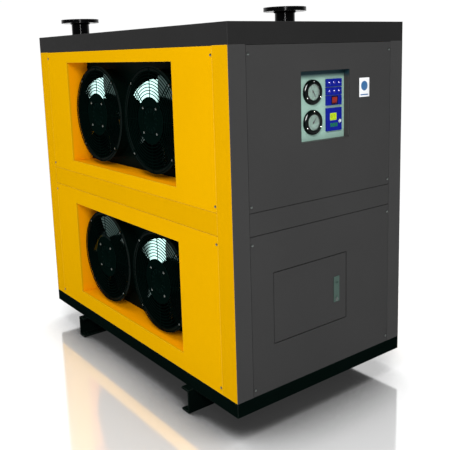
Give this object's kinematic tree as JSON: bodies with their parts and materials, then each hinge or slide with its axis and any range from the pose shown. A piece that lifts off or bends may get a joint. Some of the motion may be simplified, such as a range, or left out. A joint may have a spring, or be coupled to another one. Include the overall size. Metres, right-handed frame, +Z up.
{
  "type": "refrigerated air dryer",
  "caption": "Cabinet air dryer with twin rows of guarded fans in deep side recesses, control window, hinged door, flanged air pipes on top and channel skids.",
  "frame": {"origin": "on the floor under the middle of the object's bounding box", "axes": "+Z up, -X the fan side, -Y the control side, +X the louvred air-intake side, +Y the rear"},
  "size_m": [0.954, 1.608, 1.606],
  "materials": {
    "yellow_paint": "semi-gloss powder coat",
    "grey_paint": "fine orange-peel powder coat",
    "cover_paint": "fine orange-peel powder coat",
    "black_paint": "black enamel",
    "flange_paint": "gloss black enamel",
    "frame_zinc": "zinc-plated",
    "guard_wire": "black dipped wire",
    "motor_black": "black cast housing",
    "fan_blade": "black pressed sheet steel",
    "fin_aluminium": "finned coil",
    "screw_steel": "bright zinc",
    "tray_paint": "pale satin",
    "gauge_black": "gloss black",
    "dial_face": "printed scale with plain ticks",
    "gauge_glass": "clear",
    "needle_black": "matt black",
    "module_blue": "satin moulded",
    "lens_clear": "frosted lens",
    "rocker_red": "gloss moulded",
    "display_green": "backlit window",
    "key_green": "soft key",
    "button_white": "gloss moulded",
    "latch_grey": "satin die cast",
    "lock_chrome": "polished",
    "compressor_paint": "black enamel",
    "mount_rubber": "moulded",
    "receiver_paint": "black enamel",
    "line_copper": "drawn copper tube",
    "insulation_foam": "closed-cell foam sheet",
    "vessel_steel": "brushed stainless",
    "fitting_brass": "machined",
    "pipe_steel": "gloss black enamel",
    "box_paint": "light grey powder coat",
    "switchgear_plastic": "moulded"
  },
  "bodies": {
    "cabinet": {"base_frame": "black_paint", "front_skid": "black_paint", "rear_skid": "black_paint", "cabinet_frame": "frame_zinc", "top_cover": "cover_paint", "side_pillars": "yellow_paint", "end_pillars": "grey_paint", "side_mid_strips": "yellow_paint", "end_mid_strips": "grey_paint", "fan_side_upper_panel": "yellow_paint", "fan_side_lower_panel": "yellow_paint", "control_upper_panel": "grey_paint", "control_lower_panel": "grey_paint", "intake_panels": "yellow_paint", "rear_panels": "grey_paint", "pan_head_screws": "screw_steel", "door_hinges": "frame_zinc", "instrument_tray": "tray_paint", "gauge_cases": "gauge_black", "gauge_dials": "dial_face", "gauge_glasses": "gauge_glass", "indicator_housings": "module_blue", "indicator_lenses": "lens_clear", "switch_housing": "module_blue", "controller_housing": "module_blue", "controller_display": "display_green", "fan_plates": "black_paint", "fan_guards": "guard_wire", "fan_motors": "motor_black", "condensers": "fin_aluminium", "compressor": "compressor_paint", "compressor_mounts": "mount_rubber", "liquid_receiver": "receiver_paint", "refrigerant_lines": "line_copper", "liquid_line_fittings": "fitting_brass", "heat_exchanger": "insulation_foam", "moisture_separator": "vessel_steel", "drain_valve": "fitting_brass", "drain_line": "vessel_steel", "inlet_pipe": "pipe_steel", "outlet_pipe": "pipe_steel", "pipe_flanges": "flange_paint", "electrical_box": "box_paint", "switchgear": "switchgear_plastic", "cable_grommet": "mount_rubber"},
    "upper_front_rotor": {"upper_front_impeller": "fan_blade"},
    "upper_rear_rotor": {"upper_rear_impeller": "fan_blade"},
    "lower_front_rotor": {"lower_front_impeller": "fan_blade"},
    "lower_rear_rotor": {"lower_rear_impeller": "fan_blade"},
    "upper_needle": {"upper_gauge_needle": "needle_black"},
    "lower_needle": {"lower_gauge_needle": "needle_black"},
    "door": {"access_door": "grey_paint", "latch_plate": "latch_grey"},
    "handle": {"latch_handle": "latch_grey"},
    "lock": {"latch_lock": "lock_chrome"},
    "rocker": {"rocker_switch": "rocker_red"},
    "key_left": {"controller_key_left": "key_green"},
    "key_middle": {"controller_key_middle": "key_green"},
    "key_right": {"controller_key_right": "key_green"},
    "button": {"start_button": "button_white"}
  },
  "joints": [
    {"name": "upper_front_fan_spin", "type": "hinge", "parent": "cabinet", "child": "upper_front_rotor", "pos_m": [-0.3645, -0.2205, 1.151], "axis": [-1, 0, 0], "continuous": true},
    {"name": "upper_rear_fan_spin", "type": "hinge", "parent": "cabinet", "child": "upper_rear_rotor", "pos_m": [-0.3645, 0.2555, 1.151], "axis": [-1, 0, 0], "continuous": true},
    {"name": "lower_front_fan_spin", "type": "hinge", "parent": "cabinet", "child": "lower_front_rotor", "pos_m": [-0.3645, -0.2205, 0.463], "axis": [-1, 0, 0], "continuous": true},
    {"name": "lower_rear_fan_spin", "type": "hinge", "parent": "cabinet", "child": "lower_rear_rotor", "pos_m": [-0.3645, 0.2555, 0.463], "axis": [-1, 0, 0], "continuous": true},
    {"name": "upper_needle_turn", "type": "hinge", "parent": "cabinet", "child": "upper_needle", "pos_m": [-0.039, -0.78, 1.2615], "axis": [0, 1, 0], "range_deg": [-300, 0]},
    {"name": "lower_needle_turn", "type": "hinge", "parent": "cabinet", "child": "lower_needle", "pos_m": [-0.039, -0.78, 1.148], "axis": [0, 1, 0], "range_deg": [-188, 112]},
    {"name": "door_swing", "type": "hinge", "parent": "cabinet", "child": "door", "pos_m": [-0.264, -0.794, 0.4765], "axis": [0, 0, -1], "range_deg": [0, 95]},
    {"name": "latch_handle_lift", "type": "hinge", "parent": "door", "child": "handle", "pos_m": [0.061, -0.797, 0.498], "axis": [-1, 0, 0], "range_deg": [0, 60]},
    {"name": "latch_lock_turn", "type": "hinge", "parent": "door", "child": "lock", "pos_m": [0.061, -0.8, 0.43], "axis": [0, -1, 0], "range_deg": [0, 90]},
    {"name": "rocker_tip", "type": "hinge", "parent": "cabinet", "child": "rocker", "pos_m": [0.075, -0.777, 1.2245], "axis": [1, 0, 0], "range_deg": [-20, 0]},
    {"name": "key_left_press", "type": "slide", "parent": "cabinet", "child": "key_left", "axis": [0, 1, 0], "range_m": [0, 0.001], "stiffness_N_per_m": 400},
    {"name": "key_middle_press", "type": "slide", "parent": "cabinet", "child": "key_middle", "axis": [0, 1, 0], "range_m": [0, 0.001], "stiffness_N_per_m": 400},
    {"name": "key_right_press", "type": "slide", "parent": "cabinet", "child": "key_right", "axis": [0, 1, 0], "range_m": [0, 0.001], "stiffness_N_per_m": 400},
    {"name": "start_button_press", "type": "slide", "parent": "cabinet", "child": "button", "axis": [0, 1, 0], "range_m": [0, 0.002], "stiffness_N_per_m": 400}
  ]
}
